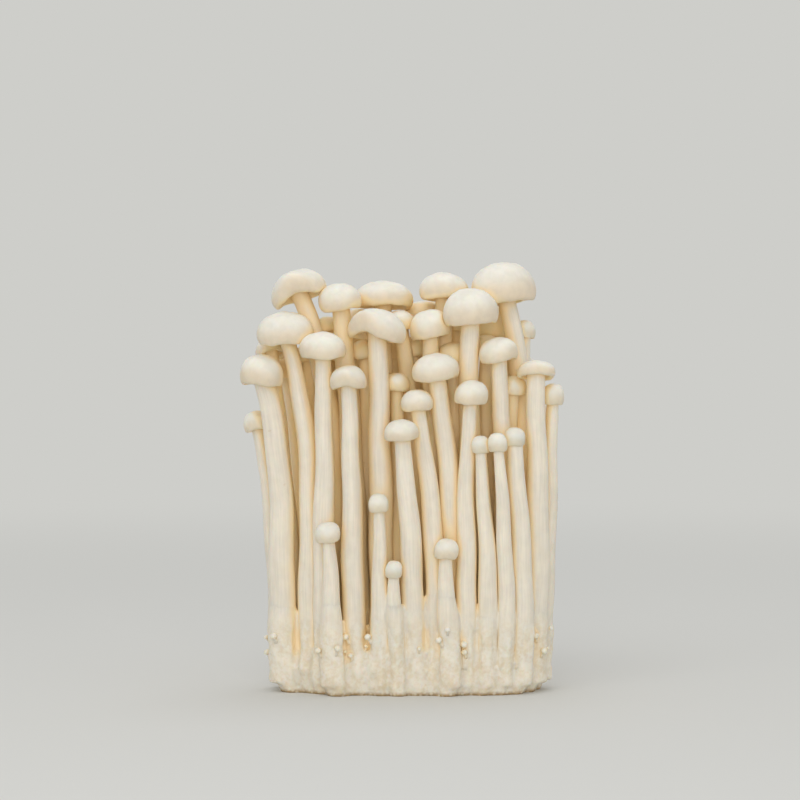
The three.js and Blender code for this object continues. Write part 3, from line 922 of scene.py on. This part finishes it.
def growFoot():
    shape = footShape
    lump = bmesh.new()
    lump.from_mesh(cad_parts[footNode].data)
    bmesh.ops.remove_doubles(lump, verts=lump.verts, dist=1e-5)
    mesh = bpy.data.meshes.new("footLump")
    lump.to_mesh(mesh)
    lump.free()
    points, faces = pointsOf(mesh), facesOf(mesh)
    points[:, 2] = np.where(points[:, 2] < 0.1, 0.0, points[:, 2])
    for mushroom in mushrooms:
        rootPoints, rootFaces = rootTube(mushroom)
        faces += [[corner + len(points) for corner in face] for face in rootFaces]
        points = np.vstack([points, rootPoints])
    rough = bpy.data.meshes.new("footRough")
    rough.from_pydata(points * metre, [], faces)
    source = bpy.data.objects.new("footRough", rough)
    bpy.context.scene.collection.objects.link(source)
    remesh = source.modifiers.new("melt", "REMESH")
    remesh.mode = "VOXEL"
    remesh.voxel_size = shape["voxel"] * metre
    melted = bpy.data.meshes.new_from_object(source.evaluated_get(bpy.context.evaluated_depsgraph_get()))
    bpy.data.objects.remove(source)
    points, faces = pointsOf(melted), facesOf(melted)
    edges = np.array([edge.vertices[:] for edge in melted.edges])
    onCut = points[:, 2] < 0.6 * shape["voxel"]

    def smoothed(points, turns):
        for turn in range(turns):
            for share in (0.6, -0.56):  # the second step gives back what the first takes off
                points = points + (neighbourMean(points, edges) - points) * share
                points[onCut, 2] = 0
        return points

    points = smoothed(points, shape["smoothing"])
    overCut = easeBetween(0, shape["creaseFull"], points[:, 2])
    depth = shape["crease"] * (shape["creaseAtCut"] + (1 - shape["creaseAtCut"]) * overCut)
    offset = shape["lumps"] * (1 + lumpsAt(points)) - depth * creaseAt(points)
    offset = offset * easeBetween(footHeight + shape["fadeTo"], footHeight + shape["fadeFrom"], points[:, 2])
    normals = normalsOf({"points": points, "faces": faces})
    normals[onCut, 2] = 0
    points = smoothed(points + normals * offset[:, None], shape["lastSmoothing"])
    return {"points": points, "faces": faces}


footPiece = growFoot()
print("foot melted together:", len(footPiece["points"]), "points")

# buds: pins that stopped growing while they were tiny, scattered in clusters over the foot's upper part
budShape = {
    "outline": [  # how far out and how high, from the root to the crown
        (0, -0.7), (0.62, -0.6), (0.5, 0.2), (0.46, 1.0), (0.7, 1.05),
        (0.92, 1.3), (0.86, 1.75), (0.5, 2.15), (0, 2.25),
    ],
    "capFrom": 1.02,
    "sides": 14,
    "density": 0.05,  # for each square millimetre
    "apart": 2.4,
    "lowest": 9.0,
    "highest": 20.0,
    "clusterSize": 9.0,
    "clusterFrom": 0.57,
    "scale": (0.5, 1.4),
    "upright": 1.4,  # how strongly they grow upwards rather than straight out
    "seed": 5,
}


def budMesh():
    outline, sides = np.array(budShape["outline"]), budShape["sides"]
    around = np.arange(sides) * 2 * math.pi / sides
    points = [(0, 0, outline[0, 1])]
    for out, height in outline[1:-1]:
        points += [(out * math.cos(a), out * math.sin(a), height) for a in around]
    points.append((0, 0, outline[-1, 1]))
    faces, rows, last = [], len(outline) - 2, len(points) - 1
    for i in range(sides):
        following = (i + 1) % sides
        faces.append((0, 1 + following, 1 + i))
        for row in range(rows - 1):
            a, b = 1 + row * sides, 1 + (row + 1) * sides
            faces.append((a + i, a + following, b + following, b + i))
        faces.append((last, last - sides + i, last - sides + following))
    points = np.array(points)
    mesh = bpy.data.meshes.new("bud")
    mesh.from_pydata(points * metre, [], faces)
    onCap = (points[:, 2] > budShape["capFrom"]).astype(float)
    mesh.attributes.new("cap", "FLOAT", "POINT").data.foreach_set("value", onCap)
    return mesh


def makeBudTree():
    tree, given = startTree("budScatter", {
        "Density": "NodeSocketFloat", "Apart": "NodeSocketFloat", "Lowest": "NodeSocketFloat",
        "Highest": "NodeSocketFloat", "Cluster Size": "NodeSocketFloat", "Cluster From": "NodeSocketFloat",
        "Smallest": "NodeSocketFloat", "Largest": "NodeSocketFloat", "Upright": "NodeSocketFloat",
        "Seed": "NodeSocketInt", "Bud": "NodeSocketObject", "Material": "NodeSocketMaterial",
    })
    place = addNode(tree, "GeometryNodeInputPosition").outputs[0]
    height = addNode(tree, "ShaderNodeSeparateXYZ", {"Vector": place}).outputs["Z"]
    cluster = addNode(tree, "ShaderNodeTexNoise", {
        "Vector": place, "Scale": sumNode(tree, "DIVIDE", 1.0, given["Cluster Size"]), "Detail": 1.0,
    }).outputs["Fac"]
    fits = [sumNode(tree, "GREATER_THAN", height, given["Lowest"]),
            sumNode(tree, "LESS_THAN", height, given["Highest"]),
            sumNode(tree, "GREATER_THAN", cluster, given["Cluster From"])]
    spots = addNode(tree, "GeometryNodeDistributePointsOnFaces", {
        "Mesh": given["Geometry"], "Selection": sumNode(tree, "MULTIPLY", *fits),
        "Distance Min": given["Apart"], "Density Max": given["Density"], "Seed": given["Seed"],
    }, distribute_method="POISSON")
    rise = addNode(tree, "ShaderNodeCombineXYZ", {"Z": given["Upright"]}).outputs[0]
    growing = addNode(tree, "ShaderNodeVectorMath", {0: spots.outputs["Normal"], 1: rise}, operation="ADD")
    turned = addNode(tree, "FunctionNodeAlignRotationToVector", {"Vector": growing.outputs[0]}, axis="Z")
    size = addNode(tree, "FunctionNodeRandomValue", {"Seed": given["Seed"]}, data_type="FLOAT")
    tree.links.new(given["Smallest"], size.inputs[2])
    tree.links.new(given["Largest"], size.inputs[3])
    source = addNode(tree, "GeometryNodeObjectInfo", {"Object": given["Bud"]})
    buds = addNode(tree, "GeometryNodeInstanceOnPoints", {
        "Points": spots.outputs["Points"], "Instance": source.outputs["Geometry"],
        "Rotation": turned.outputs[0], "Scale": size.outputs[1],
    })
    endTree(tree, buds.outputs[0], given["Material"])
    return tree


def growBuds():
    shape = budShape
    ground = bpy.data.meshes.new("budGround")
    ground.from_pydata(footPiece["points"] * metre, [], footPiece["faces"])
    bud = bpy.data.objects.new("bud", budMesh())
    made = runTree(makeBudTree(), ground, {
        "Density": shape["density"] / metre ** 2, "Apart": shape["apart"] * metre,
        "Lowest": shape["lowest"] * metre, "Highest": shape["highest"] * metre,
        "Cluster Size": shape["clusterSize"] * metre, "Cluster From": shape["clusterFrom"],
        "Smallest": shape["scale"][0], "Largest": shape["scale"][1], "Upright": shape["upright"],
        "Seed": shape["seed"], "Bud": bud, "Material": flesh,
    })
    bpy.data.objects.remove(bud)
    onCap = np.empty(len(made.vertices))
    made.attributes["cap"].data.foreach_get("value", onCap)
    points = pointsOf(made)
    return {"points": points, "faces": facesOf(made), "cap": onCap, "gill": np.zeros(len(points)),
            "grain": points * metre}


zeros = np.zeros(len(footPiece["points"]))
footPiece.update({"cap": zeros, "gill": zeros, "grain": footPiece["points"] * metre})
buds = growBuds()
footPiece = joined([footPiece, buds])
print("buds scattered:", len(buds["points"]) // (2 + budShape["sides"] * (len(budShape["outline"]) - 2)))


# how much of the sky each point can't see, out to the reach
hiding = {
    "reach": 34.0,
    "lift": 0.12,  # rays start this far above the skin
    "rays": 14,  # in the half of the sky that a point faces
    "lowest": 0.15,  # rays that leave the skin flatter than this are left out
    "inside": 0.96,  # a point with more than this hidden lies inside another piece
    "spread": 4,  # turns in which the mark of such points runs outwards
    "filling": 6,  # turns in which they take on what lies around them
    "evening": 4,  # turns in which all points are evened out
}


def raysAround():
    count = hiding["rays"] * 2
    turn = np.arange(count) * math.pi * (3 - math.sqrt(5))
    z = 1 - (np.arange(count) + 0.5) * 2 / count
    flat = np.sqrt(1 - z * z)
    return np.stack([flat * np.cos(turn), flat * np.sin(turn), z], 1)


def hiddenShare(shape, bunchTree):
    normals = normalsOf(shape)
    rays = raysAround()
    directions = [Vector(ray) for ray in rays]
    facing = normals @ rays.T
    share = np.zeros(len(normals))
    for i, point in enumerate(shape["points"]):
        start = Vector(point + normals[i] * hiding["lift"])
        total = blocked = 0.0
        for k in np.flatnonzero(facing[i] > hiding["lowest"]):
            weight = facing[i, k]
            total += weight
            if bunchTree.ray_cast(start, directions[k], hiding["reach"])[0] is not None:
                blocked += weight
        share[i] = blocked / max(total, 0.01)
    return share


# the hidden shares evened out, with the points inside another piece taking on what lies around them,
# and a mark that is 1 at those points and runs out to 0 close round them
def softened(shape):
    edges = np.array([(face[i - 1], face[i]) for face in shape["faces"] for i in range(len(face))])
    share, seen = shape["hidden"], shape["hidden"] < hiding["inside"]
    buried = (~seen).astype(float)
    for turn in range(hiding["spread"]):
        buried = np.maximum(buried, neighbourMean(buried[:, None], edges)[:, 0])
    shape["buried"] = buried
    for turn in range(hiding["filling"]):
        both = neighbourMean(np.stack([share * seen, seen], 1), edges)
        reached = ~seen & (both[:, 1] > 0)
        share = np.where(reached, both[:, 0] / np.maximum(both[:, 1], 1e-6), share)
        seen = seen | reached
    for turn in range(hiding["evening"]):
        share = 0.4 * share + 0.6 * neighbourMean(share[:, None], edges)[:, 0]
    return share


bunch = [mushroom["whole"] for mushroom in mushrooms] + [footPiece]
bunchTree = treeOf(joined(bunch))
for shape in bunch:
    shape["hidden"] = hiddenShare(shape, bunchTree)
    shape["hidden"] = softened(shape)
print("hidden places measured")


def addPiece(node, shape):
    name = node + "_grown"
    mesh = bpy.data.meshes.new(name)
    mesh.from_pydata(shape["points"] * metre, [], shape["faces"])
    for key in ("cap", "gill", "hidden", "buried"):
        mesh.attributes.new(key, "FLOAT", "POINT").data.foreach_set("value", shape[key])
    mesh.attributes.new("grain", "FLOAT_VECTOR", "POINT").data.foreach_set("vector", shape["grain"].ravel())
    mesh.materials.append(flesh)
    mesh.shade_smooth()
    piece = bpy.data.objects.new(name, mesh)
    bpy.context.scene.collection.objects.link(piece)
    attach(piece, "root")
    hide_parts(node)


for mushroom in mushrooms:
    addPiece(mushroom["node"], mushroom["whole"])
addPiece(footNode, footPiece)
print("pieces added")

# the room: a pale floor that runs out into the same pale distance
room = {
    "tone": shade(206, 206, 202),
    "floorColour": shade(217, 217, 213),
    "floorSize": 6000.0,
    "fadeFrom": 220.0,
    "fadeTo": 900.0,
    "ambient": 0.66,
}


# 1 for a ray that started at the camera, also by way of a shine or through glass
def seenRay(tree):
    path = addNode(tree, "ShaderNodeLightPath").outputs
    ways = [path["Is Camera Ray"], path["Is Glossy Ray"], path["Is Transmission Ray"]]
    return sumNode(tree, "MAXIMUM", *ways)


def makeFloor():
    material = bpy.data.materials.new("paleFloor")
    material.use_nodes = True
    tree = material.node_tree
    tree.nodes.clear()
    place = addNode(tree, "ShaderNodeTexCoord").outputs["Object"]
    flat = addNode(tree, "ShaderNodeVectorMath", {0: place, 1: (1, 1, 0)}, operation="MULTIPLY")
    away = addNode(tree, "ShaderNodeVectorMath", {0: flat.outputs[0]}, operation="LENGTH").outputs["Value"]
    far = addNode(tree, "ShaderNodeMapRange", {
        "Value": away, "From Min": room["fadeFrom"] * metre, "From Max": room["fadeTo"] * metre,
    }, interpolation_type="SMOOTHSTEP").outputs["Result"]
    matt = addNode(tree, "ShaderNodeBsdfDiffuse", {"Color": room["floorColour"]})
    glow = addNode(tree, "ShaderNodeEmission", {"Color": room["tone"], "Strength": 1.0})
    mixed = addNode(tree, "ShaderNodeMixShader", {
        0: sumNode(tree, "MULTIPLY", far, seenRay(tree)), 1: matt.outputs[0], 2: glow.outputs[0],
    })
    addNode(tree, "ShaderNodeOutputMaterial", {"Surface": mixed.outputs[0]})
    half = room["floorSize"] / 2 * metre
    corners = [(-half, -half, 0), (half, -half, 0), (half, half, 0), (-half, half, 0)]
    mesh = bpy.data.meshes.new("floor")
    mesh.from_pydata(corners, [], [(0, 1, 2, 3)])
    mesh.materials.append(material)
    floor = bpy.data.objects.new("floor", mesh)
    bpy.context.scene.collection.objects.link(floor)


def makeWorld():
    world = bpy.data.worlds.new("studio")
    bpy.context.scene.world = world
    world.use_nodes = True
    tree = world.node_tree
    tree.nodes.clear()
    light = addNode(tree, "ShaderNodeBackground", {"Color": (1, 1, 1, 1), "Strength": room["ambient"]})
    shown = addNode(tree, "ShaderNodeBackground", {"Color": room["tone"], "Strength": 1.0})
    mixed = addNode(tree, "ShaderNodeMixShader", {
        0: seenRay(tree), 1: light.outputs[0], 2: shown.outputs[0],
    })
    addNode(tree, "ShaderNodeOutputWorld", {"Surface": mixed.outputs[0]})


# each lamp: where it stands, how wide it is and how strong
lamps = {
    "keyLamp": {"place": (-260, -620, 760), "size": 620, "watts": 1.45},
    "fillLamp": {"place": (60, -1120, 190), "size": 480, "watts": 3.0},
    "topLamp": {"place": (80, 250, 900), "size": 500, "watts": 1.0},
}
bunchMiddle = (cadBox[0] + cadBox[1]) / 2


def addLamp(name, facts):
    lamp = bpy.data.lights.new(name, "AREA")
    lamp.size = facts["size"] * metre
    lamp.energy = facts["watts"]
    holder = bpy.data.objects.new(name, lamp)
    holder.location = Vector(facts["place"]) * metre
    holder.rotation_euler = (bunchMiddle - holder.location).to_track_quat("-Z", "Y").to_euler()
    bpy.context.scene.collection.objects.link(holder)


view = {
    "distance": 1000.0,
    "elevation": 2.0,
    "lens": 145.0,
    "sensor": 36.0,
    "aim": (-0.6, 0.0, 23.6),  # from the middle of the bunch
}


def addCamera():
    camera = bpy.data.objects.new("camera", bpy.data.cameras.new("camera"))
    camera.data.lens = view["lens"]
    camera.data.sensor_width = view["sensor"]
    aim = bunchMiddle + Vector(view["aim"]) * metre
    lift = math.radians(view["elevation"])
    camera.location = aim + Vector((0, -math.cos(lift), math.sin(lift))) * view["distance"] * metre
    camera.rotation_euler = (aim - camera.location).to_track_quat("-Z", "Y").to_euler()
    bpy.context.scene.collection.objects.link(camera)
    bpy.context.scene.camera = camera


makeFloor()
makeWorld()
for name, facts in lamps.items():
    addLamp(name, facts)
addCamera()
bpy.context.scene.view_settings.view_transform = "Standard"
print("room lit")
